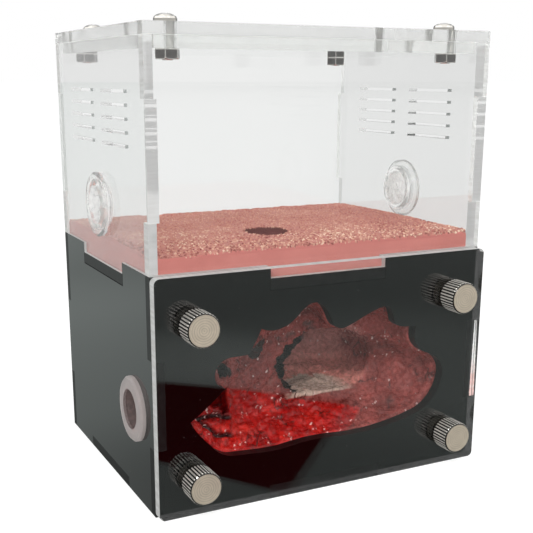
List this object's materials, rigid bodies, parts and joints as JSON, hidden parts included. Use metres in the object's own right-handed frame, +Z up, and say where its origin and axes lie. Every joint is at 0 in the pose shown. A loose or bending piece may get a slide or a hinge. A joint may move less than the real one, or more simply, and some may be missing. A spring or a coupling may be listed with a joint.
{
  "type": "ant habitat",
  "caption": "Black nest box with a carved gypsum cave behind a clear window on knurled nuts, under a clear arena with vent slits, plugged tube ports and a lift-off lid.",
  "frame": {"origin": "centre of the underside of the nest box, which rests on the table", "axes": "+Z up, -Y towards the front window, +X to the right seen from the front"},
  "size_m": [0.103, 0.086, 0.1253],
  "materials": {
    "black_acrylic": "polished black cast acrylic, laser cut edges",
    "clear_acrylic": "clear cast acrylic, polished faces, bright laser cut edges",
    "red_gypsum": "pigmented gypsum, carved rough, moist",
    "pink_gypsum": "pigmented gypsum, cast smooth and dry",
    "sand_grains": "coarse grains pressed into gypsum",
    "clear_silicone": "clear silicone",
    "milky_silicone": "translucent silicone",
    "nickel_knurled": "nickel plated, straight knurl, turned face",
    "steel_fasteners": "nickel plated steel"
  },
  "bodies": {
    "housing": {"arena_back_wall": "clear_acrylic", "arena_floor_slab": "pink_gypsum", "arena_front_wall": "clear_acrylic", "arena_left_wall": "clear_acrylic", "arena_right_wall": "clear_acrylic", "gypsum_nest_block": "red_gypsum", "nest_back_panel": "black_acrylic", "nest_base_panel": "black_acrylic", "nest_front_mask": "black_acrylic", "nest_left_panel": "black_acrylic", "nest_right_panel": "black_acrylic", "nest_roof_panel": "black_acrylic", "sand_layer": "sand_grains", "window_stud_lower_left": "steel_fasteners", "window_stud_lower_right": "steel_fasteners", "window_stud_upper_left": "steel_fasteners", "window_stud_upper_right": "steel_fasteners"},
    "lid": {"lid_plate": "clear_acrylic", "lid_locating_plate": "clear_acrylic", "lid_screw_front_left": "steel_fasteners", "lid_screw_front_right": "steel_fasteners", "lid_screw_back_left": "steel_fasteners", "lid_screw_back_right": "steel_fasteners", "lid_nut_front_left": "steel_fasteners", "lid_nut_front_right": "steel_fasteners", "lid_nut_back_left": "steel_fasteners", "lid_nut_back_right": "steel_fasteners"},
    "window": {"front_window": "clear_acrylic"},
    "nut_upper_left": {"thumb_nut_upper_left": "nickel_knurled"},
    "nut_upper_right": {"thumb_nut_upper_right": "nickel_knurled"},
    "nut_lower_left": {"thumb_nut_lower_left": "nickel_knurled"},
    "nut_lower_right": {"thumb_nut_lower_right": "nickel_knurled"},
    "arena_left_plug": {"arena_left_plug": "clear_silicone"},
    "arena_right_plug": {"arena_right_plug": "clear_silicone"},
    "nest_port_plug": {"nest_port_plug": "milky_silicone"}
  },
  "joints": [
    {"name": "lid_lift", "type": "slide", "parent": "housing", "child": "lid", "axis": [0, 0, 1], "range_m": [0, 0.05]},
    {"name": "window_off", "type": "slide", "parent": "housing", "child": "window", "axis": [0, -1, 0], "range_m": [0, 0.03]},
    {"name": "nut_upper_left_turn", "type": "hinge", "parent": "window", "child": "nut_upper_left", "pos_m": [-0.0395, -0.0415, 0.051], "axis": [0, -1, 0], "continuous": true},
    {"name": "nut_upper_right_turn", "type": "hinge", "parent": "window", "child": "nut_upper_right", "pos_m": [0.0395, -0.0415, 0.051], "axis": [0, -1, 0], "continuous": true},
    {"name": "nut_lower_left_turn", "type": "hinge", "parent": "window", "child": "nut_lower_left", "pos_m": [-0.0395, -0.0415, 0.0095], "axis": [0, -1, 0], "continuous": true},
    {"name": "nut_lower_right_turn", "type": "hinge", "parent": "window", "child": "nut_lower_right", "pos_m": [0.0395, -0.0415, 0.0095], "axis": [0, -1, 0], "continuous": true},
    {"name": "arena_left_plug_pull", "type": "slide", "parent": "housing", "child": "arena_left_plug", "axis": [-1, 0, 0], "range_m": [0, 0.012]},
    {"name": "arena_right_plug_pull", "type": "slide", "parent": "housing", "child": "arena_right_plug", "axis": [1, 0, 0], "range_m": [0, 0.012]},
    {"name": "nest_port_plug_pull", "type": "slide", "parent": "housing", "child": "nest_port_plug", "axis": [-1, 0, 0], "range_m": [0, 0.012]}
  ]
}
